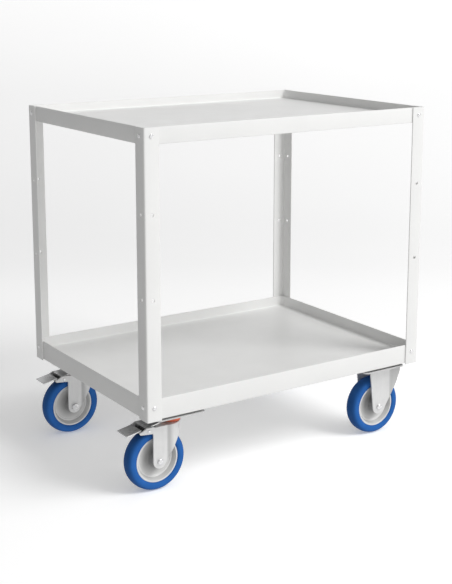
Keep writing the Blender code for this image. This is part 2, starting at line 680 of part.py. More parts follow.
for side_name, y in SIDES:
    base = empty(f"{side_name}_swivel_caster", cart, (SWIVEL_X, y * CASTER_Y, 0))
    swivel_head(side_name, base)
    swivel = empty(f"{side_name}_swivel_axis", base, (0, 0, 0))
    swivel_fork(side_name, swivel)
    axle = empty(f"{side_name}_swivel_axle_line", swivel, (-TRAIL, 0, AXLE_HEIGHT))
    wheel(f"{side_name}_swivel", axle)
    axle_set(f"{side_name}_swivel", axle, y)
    pedal_axis = empty(f"{side_name}_pedal_axis", swivel, (-TRAIL - PIN_BACK, 0, PIN_HEIGHT))
    brake(side_name, swivel, pedal_axis)


# Fixed casters
def bracket_plan(back, bend, end):
    """A bracket's leg seen from above: flat from its back edge to the bend, then turning out."""
    flare = math.radians(BRACKET_FLARE)
    rise = (end - bend) * math.tan(flare)
    return [
        (back, LEG_OUTER),
        (bend, LEG_OUTER),
        (end, LEG_OUTER + rise),
        (end, LEG_OUTER + rise - FORK_SHEET / math.cos(flare)),
        (bend + FORK_SHEET * math.tan(flare / 2), LEG_INNER),
        (back, LEG_INNER),
    ]


def fixed_bracket(name, base):
    """A plate with two legs welded under it, each with a flange that turns out."""
    bend = BRACKET_LEG_FRONT
    flange_end = PLATE_LENGTH / 2 - BRACKET_FLANGE_MARGIN
    leg_top = CASTER_HEIGHT - PLATE_THICKNESS / 2
    outline = arc((0, AXLE_HEIGHT), BRACKET_END_RADIUS, 190, 330, 8) + [
        (bend, AXLE_HEIGHT + BRACKET_FLANGE_FOOT),
        (flange_end - BRACKET_FLANGE_CUT, PLATE_UNDER - BRACKET_FLANGE_DROP),
        (flange_end + CUT_PAST, leg_top),
        (-BRACKET_LEG_BACK, leg_top),
    ]
    bracket_name = f"{name}_fixed_bracket"
    mesh = outline_mesh(bracket_name, plate_outline(), PLATE_UNDER, CASTER_HEIGHT)
    bracket = add_part(bracket_name, mesh, ZINC, base)
    plan = bracket_plan(-BRACKET_LEG_BACK - CUT_PAST, bend, flange_end)
    join_legs(bracket, f"{name}_bracket", base, (0, 0, 0), plan, outline)
    cross_hole(bracket, f"{name}_bracket_axle_hole", base, (0, 0, AXLE_HEIGHT), AXLE_DIAMETER)


for side_name, y in SIDES:
    base = empty(f"{side_name}_fixed_caster", cart, (FIXED_X, y * CASTER_Y, 0))
    fixed_bracket(side_name, base)
    axle = empty(f"{side_name}_fixed_axle_line", base, (0, 0, AXLE_HEIGHT))
    wheel(f"{side_name}_fixed", axle)
    axle_set(f"{side_name}_fixed", axle, y)
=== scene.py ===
"""Looks of the two-tier utility cart: finer sheet metal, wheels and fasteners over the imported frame."""

import json
import math

import bmesh
import bpy
from mathutils import Matrix, Vector


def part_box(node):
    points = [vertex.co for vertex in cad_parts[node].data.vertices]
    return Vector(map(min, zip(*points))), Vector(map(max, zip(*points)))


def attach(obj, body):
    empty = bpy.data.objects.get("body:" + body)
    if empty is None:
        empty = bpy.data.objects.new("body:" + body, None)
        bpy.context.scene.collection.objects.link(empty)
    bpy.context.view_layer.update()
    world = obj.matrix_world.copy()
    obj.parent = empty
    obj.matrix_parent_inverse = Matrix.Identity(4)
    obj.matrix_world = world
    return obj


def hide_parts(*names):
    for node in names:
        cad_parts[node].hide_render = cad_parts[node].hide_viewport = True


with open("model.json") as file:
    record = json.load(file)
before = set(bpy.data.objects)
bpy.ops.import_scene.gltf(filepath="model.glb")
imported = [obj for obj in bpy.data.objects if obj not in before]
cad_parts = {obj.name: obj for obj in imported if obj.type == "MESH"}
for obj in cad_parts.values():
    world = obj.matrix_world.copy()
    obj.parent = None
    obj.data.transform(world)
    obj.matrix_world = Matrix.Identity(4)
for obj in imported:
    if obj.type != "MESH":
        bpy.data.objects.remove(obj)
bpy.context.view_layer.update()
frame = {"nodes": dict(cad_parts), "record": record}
scene = bpy.context.scene
NODE_BODY = {node: body for body, nodes in frame["record"]["behaviour"]["bodies"].items() for node in nodes}
SIDES = (("front", -1), ("rear", 1))
ENDS = (("left", -1), ("right", 1))
WHEEL_RADIUS = 0.080
# Edges that turn by less than these angles, in degrees, are shaded smooth
SHARP_ANGLE = 33
FOLD_ANGLE = 11


# Camera, fitted to the photograph; angles in degrees
IMAGE_HEIGHT = 584
FOCAL_PIXELS = 1191.8
SENSOR = 36
CAMERA_SHIFT = -0.12
CAMERA_PLACE = (-1.73085, -2.6328, 1.2249)
CAMERA_DIP = 11.329
CAMERA_TURN = -33.543

camera_data = bpy.data.cameras.new("camera")
camera_data.sensor_width = SENSOR
camera_data.lens = FOCAL_PIXELS * SENSOR / IMAGE_HEIGHT
camera_data.shift_y = CAMERA_SHIFT
camera_data.clip_end = 200
camera = bpy.data.objects.new("camera", camera_data)
camera.location = CAMERA_PLACE
camera.rotation_euler = (math.radians(90 - CAMERA_DIP), 0, math.radians(CAMERA_TURN))
scene.collection.objects.link(camera)
scene.camera = camera


# Shader nodes
def new_material(name):
    """A node material, its node tree, its shader and its object coordinates."""
    material = bpy.data.materials.new(name)
    material.use_nodes = True
    tree = material.node_tree
    shader = tree.nodes["Principled BSDF"]
    coords = tree.nodes.new("ShaderNodeTexCoord").outputs["Object"]
    return material, tree, shader, coords


def noise(tree, coords, scale, detail, stretch=None):
    """A noise field in the object's own metres; stretch scales each axis first."""
    if stretch:
        mapping = tree.nodes.new("ShaderNodeMapping")
        mapping.inputs["Scale"].default_value = stretch
        tree.links.new(coords, mapping.inputs["Vector"])
        coords = mapping.outputs["Vector"]
    node = tree.nodes.new("ShaderNodeTexNoise")
    node.inputs["Scale"].default_value = scale
    node.inputs["Detail"].default_value = detail
    tree.links.new(coords, node.inputs["Vector"])
    return node.outputs["Fac"]


def ramp(tree, value, stops):
    """Colours along a value: stops are (place, colour)."""
    node = tree.nodes.new("ShaderNodeValToRGB")
    elements = node.color_ramp.elements
    while len(elements) < len(stops):
        elements.new(0.5)
    for element, (place, colour) in zip(elements, stops):
        element.position = place
        element.color = (*colour, 1)
    tree.links.new(value, node.inputs["Fac"])
    return node.outputs["Color"]


def tone_ramp(tree, value, tones):
    """Greys along a value: tones are (place, tone)."""
    return ramp(tree, value, [(at, (tone,) * 3) for at, tone in tones])


def spread(tree, value, low, high, from_low=0.3, from_high=0.7):
    """Maps a value to a range; a noise field lies mostly between 0.3 and 0.7."""
    node = tree.nodes.new("ShaderNodeMapRange")
    node.inputs["From Min"].default_value = from_low
    node.inputs["From Max"].default_value = from_high
    node.inputs["To Min"].default_value = low
    node.inputs["To Max"].default_value = high
    tree.links.new(value, node.inputs["Value"])
    return node.outputs["Result"]


def mix(tree, factor, first, second, blend="MIX"):
    """Blends two colours; each input is a number, a colour or another node's output."""
    node = tree.nodes.new("ShaderNodeMix")
    node.data_type = "RGBA"
    node.blend_type = blend
    for socket, value in ((node.inputs[0], factor), (node.inputs[6], first), (node.inputs[7], second)):
        if isinstance(value, (int, float)):
            socket.default_value = value
        elif isinstance(value, tuple):
            socket.default_value = (*value, 1)
        else:
            tree.links.new(value, socket)
    return node.outputs[2]


def bump(tree, shader, heights):
    """Stacks bumps on the shader's normal: heights are (value, strength, distance in metres)."""
    normal = None
    for value, strength, distance in heights:
        node = tree.nodes.new("ShaderNodeBump")
        node.inputs["Strength"].default_value = strength
        node.inputs["Distance"].default_value = distance
        tree.links.new(value, node.inputs["Height"])
        if normal:
            tree.links.new(normal, node.inputs["Normal"])
        normal = node.outputs["Normal"]
    tree.links.new(normal, shader.inputs["Normal"])


def edge_wear_and_highlight(tree, amount, low=0.52, high=0.62):
    """The amount on the mesh's sharp outer edges, 0 elsewhere."""
    geometry = tree.nodes.new("ShaderNodeNewGeometry")
    sharp = spread(tree, geometry.outputs["Pointiness"], 0, 1, low, high)
    return spread(tree, sharp, 0, amount, 0, 1)


def painted_shade_bands(tree, coords, colour, tones):
    """Paints shade by darkening a colour along the piece's own X axis: tones are (metres, tone)."""
    split = tree.nodes.new("ShaderNodeSeparateXYZ")
    tree.links.new(coords, split.inputs[0])
    low = tones[0][0]
    reach = tones[-1][0] - low
    place_along = spread(tree, split.outputs["X"], 0, 1, low, low + reach)
    shades = tone_ramp(tree, place_along, [((at - low) / reach, tone) for at, tone in tones])
    return mix(tree, 1.0, colour, shades, "MULTIPLY")


def bare_and_highlit_sides(tree, colour, bare):
    """Lightens the faces that look along the piece's own Y axis: bare metal, and partly a painted highlight.
    """
    normal = tree.nodes.new("ShaderNodeTexCoord").outputs["Normal"]
    split = tree.nodes.new("ShaderNodeSeparateXYZ")
    tree.links.new(normal, split.inputs[0])
    size = tree.nodes.new("ShaderNodeMath")
    size.operation = "ABSOLUTE"
    tree.links.new(split.outputs["Y"], size.inputs[0])
    return mix(tree, spread(tree, size.outputs[0], 0, 1, 0.6, 0.9), colour, bare)


def painted_radial_shade(tree, coords, colour, tones):
    """Paints shade by darkening a colour by the distance from a wheel's axis: tones are (part of the wheel's
    radius, tone).
    """
    flat = tree.nodes.new("ShaderNodeVectorMath")
    flat.operation = "MULTIPLY"
    flat.inputs[1].default_value = (1, 1, 0)
    tree.links.new(coords, flat.inputs[0])
    radius = tree.nodes.new("ShaderNodeVectorMath")
    radius.operation = "LENGTH"
    tree.links.new(flat.outputs["Vector"], radius.inputs[0])
    place_out = spread(tree, radius.outputs["Value"], 0, 1, 0, WHEEL_RADIUS)
    return mix(tree, 1.0, colour, tone_ramp(tree, place_out, tones), "MULTIPLY")


# Materials: each has a pale and a dull colour, and a lowest and highest roughness
def coat_material(name, pale, dull, roughness):
    """Powder coat: faint cloudiness, orange peel, and slightly rubbed edges."""
    material, tree, shader, coords = new_material(name)
    clouds = ramp(tree, noise(tree, coords, scale=7, detail=3), ((0.3, dull), (0.7, pale)))
    rubbed = tuple(c * 0.9 for c in dull)
    colour = mix(tree, edge_wear_and_highlight(tree, amount=0.35), clouds, rubbed)
    tree.links.new(colour, shader.inputs["Base Color"])
    gloss = noise(tree, coords, scale=30, detail=4)
    tree.links.new(spread(tree, gloss, *roughness), shader.inputs["Roughness"])
    peel = noise(tree, coords, scale=420, detail=2)
    grain = noise(tree, coords, scale=1500, detail=1)
    bump(tree, shader, ((peel, 0.10, 0.0004), (grain, 0.06, 0.0002)))
    return material


def metal_material(name, pale, dull, metallic, roughness, stretch, streak_strength, tones=None, bare=None):
    """Plated or drawn steel: fine streaks along one axis, faint clouds, painted shade in bands along X,
    lighter faces along Y that are bare metal and partly a painted highlight, and brighter worn edges that
    are partly a painted highlight.
    """
    material, tree, shader, coords = new_material(name)
    streaks = noise(tree, coords, scale=1, detail=3, stretch=stretch)
    clouds = noise(tree, coords, scale=45, detail=4)
    streaked = ramp(tree, streaks, ((0.25, dull), (0.75, pale)))
    clouded = ramp(tree, clouds, ((0.3, dull), (0.7, pale)))
    colour = mix(tree, 0.5, streaked, clouded)
    # Painted shade: the tones darken bands along the piece's X axis.
    if tones:
        colour = painted_shade_bands(tree, coords, colour, tones)
    # Lighter faces along the piece's Y axis: bare metal, and partly a painted highlight.
    if bare:
        colour = bare_and_highlit_sides(tree, colour, bare)
    # Brighter sharp edges: wear, and partly a painted highlight.
    bright = tuple(min(c * 1.25, 0.95) for c in pale)
    colour = mix(tree, edge_wear_and_highlight(tree, amount=0.5), colour, bright)
    tree.links.new(colour, shader.inputs["Base Color"])
    tree.links.new(spread(tree, clouds, *roughness), shader.inputs["Roughness"])
    shader.inputs["Metallic"].default_value = metallic
    grain = noise(tree, coords, scale=900, detail=2)
    bump(tree, shader, ((streaks, streak_strength, 0.0003), (grain, 0.05, 0.0002)))
    return material


def moulded_material(name, pale, dull, roughness, grain_scale, grain_strength, specular=0.5, tones=None):
    """Rubber or plastic: soft mottling with a fine moulded grain, and painted shade on a wheel's rings."""
    material, tree, shader, coords = new_material(name)
    shader.inputs["Specular IOR Level"].default_value = specular
    colour = ramp(tree, noise(tree, coords, scale=38, detail=4), ((0.3, dull), (0.7, pale)))
    # Painted shade: the tones darken rings by the distance from the wheel's axis.
    if tones:
        colour = painted_radial_shade(tree, coords, colour, tones)
    scuffed = tuple(c * 0.8 + 0.05 for c in pale)
    colour = mix(tree, edge_wear_and_highlight(tree, amount=0.3, low=0.51, high=0.58), colour, scuffed)
    tree.links.new(colour, shader.inputs["Base Color"])
    gloss = noise(tree, coords, scale=120, detail=3)
    tree.links.new(spread(tree, gloss, *roughness), shader.inputs["Roughness"])
    grain = noise(tree, coords, scale=grain_scale, detail=3)
    bump(tree, shader, ((grain, grain_strength, 0.0003),))
    return material


# Painted shade: darker bands at the folds of the fork and bracket flanges, and darker bands across the
# pedals, near black in their trough
FOLD_PAINTED_SHADE = (
    (-0.4500, 1.0), (-0.3315, 1.0), (-0.3295, 0.66), (-0.3235, 0.70), (-0.3120, 1.0),
    (0.3810, 1.0), (0.3850, 0.74), (0.4130, 0.78), (0.4500, 1.0),
)
PEDAL_PAINTED_SHADE = (
    (-0.4410, 0.80), (-0.4300, 0.90), (-0.4020, 0.65), (-0.3995, 0.10), (-0.3905, 0.10), (-0.3885, 1.0),
    (-0.3850, 0.95), (-0.3800, 0.50), (-0.3720, 0.40), (-0.3660, 0.70), (-0.3600, 0.40),
)
# Painted shade: the tread darker towards its edge, and the hub darker in its dish and round its lip
TYRE_PAINTED_SHADE = ((0.90, 1.0), (0.99, 0.72))
HUB_PAINTED_SHADE = (
    (0.24, 0.33), (0.38, 0.58), (0.53, 0.86), (0.56, 1.0), (0.592, 1.0), (0.605, 0.72), (0.665, 0.82),
    (0.685, 1.0),
)
MATERIALS = {
    "powder_coat": coat_material(
        "white_powder_coat", pale=(0.84, 0.84, 0.83), dull=(0.81, 0.81, 0.80), roughness=(0.36, 0.46)),
    "zinc_plate": metal_material(
        "zinc_plated_sheet", pale=(0.72, 0.72, 0.715), dull=(0.64, 0.64, 0.64), metallic=0.35,
        roughness=(0.34, 0.46), stretch=(220, 220, 14), streak_strength=0.05, tones=FOLD_PAINTED_SHADE),
    "steel": metal_material(
        "bright_steel", pale=(0.80, 0.80, 0.80), dull=(0.72, 0.72, 0.73), metallic=0.84,
        roughness=(0.22, 0.34), stretch=(300, 300, 300), streak_strength=0.05),
    # Pedal steel: painted shade in bands from the tones, and lighter Y faces that are bare metal and partly
    # a painted highlight.
    "brake_steel": metal_material(
        "dark_brake_steel", pale=(0.60, 0.60, 0.605), dull=(0.38, 0.38, 0.385), metallic=0.80,
        roughness=(0.24, 0.38), stretch=(25, 420, 60), streak_strength=0.10, tones=PEDAL_PAINTED_SHADE,
        bare=(0.80, 0.80, 0.79)),
    "blue_rubber": moulded_material(
        "blue_elastic_tyre", pale=(0.022, 0.130, 0.430), dull=(0.018, 0.110, 0.380), roughness=(0.55, 0.68),
        grain_scale=700, grain_strength=0.08, specular=0.15, tones=TYRE_PAINTED_SHADE),
    "shoe_rubber": moulded_material(
        "black_shoe_rubber", pale=(0.030, 0.030, 0.032), dull=(0.018, 0.018, 0.019), roughness=(0.60, 0.75),
        grain_scale=500, grain_strength=0.15),
    "hub_plastic": moulded_material(
        "grey_hub_plastic", pale=(0.76, 0.76, 0.75), dull=(0.70, 0.70, 0.695), roughness=(0.40, 0.52),
        grain_scale=800, grain_strength=0.06, tones=HUB_PAINTED_SHADE),
    "seal_plastic": moulded_material(
        "orange_seal_plastic", pale=(0.86, 0.180, 0.085), dull=(0.78, 0.150, 0.070), roughness=(0.36, 0.48),
        grain_scale=700, grain_strength=0.06),
}
# The record's material slot of a CAD node, by the end of its name
SLOT_ENDINGS = (
    ("tyre", "blue_rubber"), ("hub", "hub_plastic"), ("seal", "seal_plastic"), ("shoe", "shoe_rubber"),
    ("pedal", "brake_steel"), ("fork", "zinc_plate"), ("bracket", "zinc_plate"), ("plate", "zinc_plate"),
    ("kingpin", "steel"), ("axle", "steel"), ("nut", "steel"), ("sleeve", "steel"), ("pin", "steel"),
)


def slot_for(node):
    """The record's material slot of a CAD node."""
    for ending, slot in SLOT_ENDINGS:
        if node.endswith(ending):
            return slot
    return "steel" if node.startswith("screw") else "powder_coat"


# Kept CAD nodes: welded, smoothed and rounded by modifiers, with the new materials
WELD_DISTANCE = 1e-5
SHEET_EDGE = 0.0007
FOLDED_ENDINGS = ("_fork", "_pedal", "_bracket", "_shoe", "_left", "_right")


def weld_group(name, blunt_angle):
    """A node group that welds a mesh, drops its stored normals and smooths all but its sharp edges."""
    group = bpy.data.node_groups.new(name, "GeometryNodeTree")
    group.interface.new_socket("Geometry", in_out="INPUT", socket_type="NodeSocketGeometry")
    group.interface.new_socket("Geometry", in_out="OUTPUT", socket_type="NodeSocketGeometry")
    nodes = group.nodes
    first = nodes.new("NodeGroupInput")
    weld = nodes.new("GeometryNodeMergeByDistance")
    weld.inputs["Distance"].default_value = WELD_DISTANCE
    bare = nodes.new("GeometryNodeRemoveAttribute")
    bare.inputs["Name"].default_value = "custom_normal"
    faces = nodes.new("GeometryNodeSetShadeSmooth")
    faces.domain = "FACE"
    faces.inputs["Shade Smooth"].default_value = True
    edges = nodes.new("GeometryNodeSetShadeSmooth")
    edges.domain = "EDGE"
    angle = nodes.new("GeometryNodeInputMeshEdgeAngle")
    blunt = nodes.new("FunctionNodeCompare")
    blunt.data_type = "FLOAT"
    blunt.operation = "LESS_THAN"
    blunt.inputs[1].default_value = math.radians(blunt_angle)
    last = nodes.new("NodeGroupOutput")
    chain = (first, weld, bare, faces, edges, last)
    for one, other in zip(chain, chain[1:]):
        group.links.new(one.outputs[0], other.inputs[0])
    group.links.new(angle.outputs[0], blunt.inputs[0])
    group.links.new(blunt.outputs[0], edges.inputs["Shade Smooth"])
    return group


def add_bevel(piece, width):
    """Rounds a piece's sharp edges."""
    bevel = piece.modifiers.new("rounded_edges", "BEVEL")
    bevel.width = width
    bevel.segments = 2
    bevel.limit_method = "ANGLE"
    bevel.angle_limit = math.radians(SHARP_ANGLE)
    bevel.harden_normals = True


ROUND_GROUP = weld_group("weld_round_pieces", SHARP_ANGLE)
SHEET_GROUP = weld_group("weld_folded_sheet", FOLD_ANGLE)
for node, obj in frame["nodes"].items():
    obj.data.materials[0] = MATERIALS[slot_for(node)]
    folded = node.endswith(FOLDED_ENDINGS)
    obj.modifiers.new("weld_and_smooth", "NODES").node_group = SHEET_GROUP if folded else ROUND_GROUP
    if folded:
        add_bevel(obj, SHEET_EDGE)


# Outlines
def mm(points):
    """Points given in millimetres, in metres."""
    return [(a / 1000, b / 1000) for a, b in points]


def fillet(points, radii, steps=4, closed=True):
    """Rounds the corners of a flat line of points, each to its own radius."""
    rounded = []
    count = len(points)
    for i, point in enumerate(points):
        corner = Vector(point)
        radius = radii[i]
        if radius <= 0 or (not closed and i in (0, count - 1)):
            rounded.append(corner)
            continue
        before = (Vector(points[i - 1]) - corner).normalized()
        after = (Vector(points[(i + 1) % count]) - corner).normalized()
        half = before.angle(after) / 2
        centre = corner + (before + after).normalized() * radius / math.sin(half)
        first = corner + before * radius / math.tan(half) - centre
        last = corner + after * radius / math.tan(half) - centre
        turn = math.atan2(first.x * last.y - first.y * last.x, first.dot(last))
        for k in range(steps + 1):
            rounded.append(centre + Matrix.Rotation(turn * k / steps, 2) @ first)
    return rounded


def rounded_profile(points, radii, steps=4, closed=False):
    """A profile of (radius, height) with rounded corners, given in millimetres."""
    return fillet(mm(points), [r / 1000 for r in radii], steps, closed)


def smooth_line(points, steps=3):
    """A Catmull-Rom curve through the points."""
    line = []
    for i in range(len(points) - 1):
        a, b, c, d = (Vector(points[min(max(k, 0), len(points) - 1)]) for k in (i - 1, i, i + 1, i + 2))
        for k in range(steps):
            t = k / steps
            line.append((2 * b + (c - a) * t + (2 * a - 5 * b + 4 * c - d) * t ** 2
                         + (3 * b - a - 3 * c + d) * t ** 3) / 2)
    return line + [Vector(points[-1])]


def ring(radius, height, steps):
    """A circle of points about Z, at one height."""
    turns = [2 * math.pi * i / steps for i in range(steps)]
    return [(radius * math.cos(a), radius * math.sin(a), height) for a in turns]


def oblong(centre, half_x, half_y, radius, height, steps=4):
    """A rectangle with round corners, at one height."""
    corners = ((1, 1, 0), (-1, 1, 90), (-1, -1, 180), (1, -1, 270))
    loop = []
    for x, y, start in corners:
        for k in range(steps + 1):
            a = math.radians(start + 90 * k / steps)
            loop.append((
                centre[0] + x * (half_x - radius) + radius * math.cos(a),
                centre[1] + y * (half_y - radius) + radius * math.sin(a),
                height,
            ))
    return loop


# Mesh building
def loft(build, loops, wrap=False, caps=False):
    """Joins loops of equal length with quads; wrap joins the last to the first, caps close both ends."""
    rows = [[build.verts.new(point) for point in loop] for loop in loops]
    count = len(rows[0])
    pairs = list(zip(rows, rows[1:]))
    if wrap:
        pairs.append((rows[-1], rows[0]))
    for low, high in pairs:
        for i in range(count):
            j = (i + 1) % count
            build.faces.new((low[i], low[j], high[j], high[i]))
    if caps:
        build.faces.new(rows[0][::-1])
        build.faces.new(rows[-1])


def turned(build, profile, steps, wrap=False):
    """Turns a profile of (radius, height) about Z; without wrap its two ends are closed flat."""
    loft(build, [ring(r, h, steps) for r, h in profile], wrap, caps=not wrap)


def shape(name, slot, *makers):
    """A mesh with its material, from functions that each add to one bmesh."""
    build = bmesh.new()
    for maker in makers:
        maker(build)
    bmesh.ops.recalc_face_normals(build, faces=build.faces)
    mesh = bpy.data.meshes.new(name)
    build.to_mesh(mesh)
    build.free()
    mesh.materials.append(MATERIALS[slot])
    mesh.polygons.foreach_set("use_smooth", [True] * len(mesh.polygons))
    mesh.set_sharp_from_angle(angle=math.radians(SHARP_ANGLE))
    return mesh


def place(name, mesh, slot, body, matrix=None, nodes=()):
    """Puts a mesh on a CAD body, in the place of the CAD nodes it stands for."""
    piece = bpy.data.objects.new(name, mesh)
    scene.collection.objects.link(piece)
    if matrix:
        piece.matrix_world = matrix
    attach(piece, body)
    if nodes:
        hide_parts(*nodes)
    return piece


def middle(node):
    """The middle of a CAD node's box."""
    low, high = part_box(node)
    return (low + high) / 2


def foot(node):
    """The middle of the underside of a CAD node's box."""
    low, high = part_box(node)
    return Vector(((low.x + high.x) / 2, (low.y + high.y) / 2, low.z))


# Trays: one folded sheet each, with round folds and rounded hems
TRAY_DEPTHS = (("top_tray", 0.024), ("bottom_tray", 0.030))
RIM = 0.003
FLOOR_SHEET = 0.002
TRAY_CORNER = 0.014
LEAST_CORNER = 0.0005
FLOOR_FOLD = 0.0035
UNDER_FOLD = 0.003
RIM_EDGE = 0.0012
HEM_EDGE = 0.0009
FLOOR_REACH = 0.05


def tray_loops(node, depth):
    """Loops round a tray, from its floor over the rim and down the apron to the floor's underside."""
    low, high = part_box(node)
    centre = (low + high) / 2
    half = (high - low) / 2
    floor_top = high.z - depth
    under = floor_top - FLOOR_SHEET
    corners = [
        (FLOOR_REACH, floor_top), (RIM, floor_top), (RIM, high.z), (0, high.z), (0, low.z), (RIM, low.z),
        (RIM, under), (FLOOR_REACH, under),
    ]
    radii = [0, FLOOR_FOLD, HEM_EDGE, RIM_EDGE, HEM_EDGE, HEM_EDGE, UNDER_FOLD, 0]
    return [
        oblong(centre, half.x - inward, half.y - inward, max(TRAY_CORNER - inward, LEAST_CORNER), z)
        for inward, z in fillet(corners, radii, closed=False)
    ]


for node, depth in TRAY_DEPTHS:
    loops = tray_loops(node, depth)
    mesh = shape(f"{node}_sheet", "powder_coat", lambda b: loft(b, loops, caps=True))
    place(f"{node}_sheet", mesh, "powder_coat", NODE_BODY[node], None, [node])


# Posts: angle sections with a round fold and punched spare holes
POST_FLANGE = 0.040
POST_SHEET = 0.003
POST_FOLD = 0.004
INNER_FOLD = 0.0015
POST_EDGE = 0.0008
HOLE_HEIGHTS = (0.502, 0.704)
HOLE_RADIUS = 0.004
HOLE_EDGE = 0.0005
PUNCH_REACH = 0.01


def post_holes(build, corner, x, y):
    """Rods through both flanges of a post where its spare holes are."""
    middle_in = POST_FLANGE / 2
    along_y = Matrix.Rotation(math.radians(90), 4, "X")
    along_x = Matrix.Rotation(math.radians(90), 4, "Y")
    for height in HOLE_HEIGHTS:
        for spot, turn in (
            ((corner.x - x * middle_in, corner.y, height), along_y),
            ((corner.x, corner.y - y * middle_in, height), along_x),
        ):
            before = set(build.verts)
            turned(build, [(HOLE_RADIUS, -PUNCH_REACH), (HOLE_RADIUS, PUNCH_REACH)], 24)
            fresh = [v for v in build.verts if v not in before]
            bmesh.ops.transform(build, matrix=Matrix.Translation(spot) @ turn, verts=fresh)


def punch(piece, punch_mesh):
    """Cuts a mesh out of a piece, and gives the piece a mesh of its own with the cut."""
    cutter = bpy.data.objects.new(punch_mesh.name, punch_mesh)
    scene.collection.objects.link(cutter)
    cut = piece.modifiers.new("punch", "BOOLEAN")
    cut.operation = "DIFFERENCE"
    cut.solver = "EXACT"
    cut.object = cutter
    evaluated = piece.evaluated_get(bpy.context.evaluated_depsgraph_get())
    mesh = bpy.data.meshes.new_from_object(evaluated)
    piece.modifiers.clear()
    piece.data = mesh
    bpy.data.objects.remove(cutter)


def post_piece(node, x, y):
    """A post with its corner at the outer corner of the CAD node."""
    low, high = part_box(node)
    corner = Vector((low.x if x < 0 else high.x, low.y if y < 0 else high.y))
    corners = [
        (0, 0), (POST_FLANGE, 0), (POST_FLANGE, POST_SHEET), (POST_SHEET, POST_SHEET),
        (POST_SHEET, POST_FLANGE), (0, POST_FLANGE),
    ]
    radii = [POST_FOLD, POST_EDGE, POST_EDGE, INNER_FOLD, POST_EDGE, POST_EDGE]
    outline = [(corner.x - x * p.x, corner.y - y * p.y) for p in fillet(corners, radii, 5)]
    loops = [[(*p, z) for p in outline] for z in (low.z, high.z)]
    mesh = shape(f"{node}_angle", "powder_coat", lambda b: loft(b, loops, caps=True))
    post = place(f"{node}_angle", mesh, "powder_coat", "cart", None, [node])
    punch(post, shape(f"{node}_punch", "powder_coat", lambda b: post_holes(b, corner, x, y)))
    add_bevel(post, HOLE_EDGE)


for y_name, y in SIDES:
    for x_name, x in ENDS:
        post_piece(f"post_{y_name}_{x_name}", x, y)


# Screws: low round heads that sit on the posts, a seat's depth in from the top of the CAD's heads
SCREW_SEAT = 0.0033
HEAD_PROFILE = rounded_profile(
    [(1.0, 2.5), (4.0, 2.4), (5.25, 1.6), (5.25, 0.0), (3.0, 0.0), (3.0, -4.5)],
    (0, 1.5, 0.8, 0, 0, 0))
screw_mesh = shape("tray_screw", "steel", lambda b: turned(b, HEAD_PROFILE, 32))
for node in sorted(n for n in frame["nodes"] if n.startswith("screw_")):
    low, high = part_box(node)
    spot = (low + high) / 2
    if node.endswith("_face"):
        out = -1 if "_front_" in node else 1
        spot.y = (low.y + SCREW_SEAT) if out < 0 else (high.y - SCREW_SEAT)
        turn = Matrix.Rotation(math.radians(-90 * out), 4, "X")
    else:
        out = -1 if "_left_" in node else 1
        spot.x = (low.x + SCREW_SEAT) if out < 0 else (high.x - SCREW_SEAT)
        turn = Matrix.Rotation(math.radians(90 * out), 4, "Y")
    place(f"{node}_head", screw_mesh, "steel", "cart", Matrix.Translation(spot) @ turn, [node])


# Wheels: a moulded tyre over a dished hub
TYRE_SEAT = mm([(62.1, 13.1), (58.1, 13.1)])
TYRE_SIDE = mm([
    (58.1, 14.6), (58.5, 16.4), (59.8, 18.0), (62.2, 19.3), (65.8, 19.9), (69.8, 19.6), (73.3, 18.3),
    (76.2, 15.8), (78.2, 12.2), (79.2, 8.4), (79.8, 4.2), (80.0, 0.0),
])
TYRE_HALF = [Vector(p) for p in TYRE_SEAT] + smooth_line(TYRE_SIDE)
TYRE_PROFILE = TYRE_HALF + [Vector((r, -h)) for r, h in reversed(TYRE_HALF[:-1])]
tyre_mesh = shape("blue_tyre", "blue_rubber", lambda b: turned(b, TYRE_PROFILE, 112, wrap=True))

HUB_HALF = rounded_profile(
    [(62.0, 0.0), (62.0, 13.0), (58.0, 13.0), (58.0, 16.5), (54.4, 16.5), (47.6, 5.2), (44.8, 5.2),
     (43.4, 3.6), (23.0, 3.0), (18.0, 6.0), (18.0, 26.4), (9.3, 26.4), (9.3, 0.0)],
    (0, 0.3, 0.3, 0.8, 1.0, 0.9, 0.9, 0.6, 3.0, 0.6, 0.5, 0.3, 0))
HUB_PROFILE = HUB_HALF + [Vector((r, -h)) for r, h in reversed(HUB_HALF[1:-1])]
hub_mesh = shape("dished_hub", "hub_plastic", lambda b: turned(b, HUB_PROFILE, 96, wrap=True))


# Axle bolts with low round heads, and their nuts, both outside the legs
LEG_FACE = 0.0305
BOLT_HEAD = rounded_profile(
    [(1.2, 5.4), (5.4, 5.2), (7.5, 3.8), (7.5, 0.2), (5.0, 0.2)],
    (0, 2.2, 1.4, 0, 0))
BOLT_TIP = mm([(5.0, 8.8), (4.4, 9.8)])
BOLT_PROFILE = [(r, LEG_FACE + h) for r, h in BOLT_HEAD] + [(r, -LEG_FACE - h) for r, h in BOLT_TIP]
NUT_ACROSS = 0.017
NUT_HEIGHT = 0.0083
NUT_BORE = 0.0051
NUT_STEPS = 48


def hexagon_reach(across, angle):
    """A hexagon's reach from its middle at an angle."""
    return across / 2 / math.cos((angle + math.pi / 6) % (math.pi / 3) - math.pi / 6)


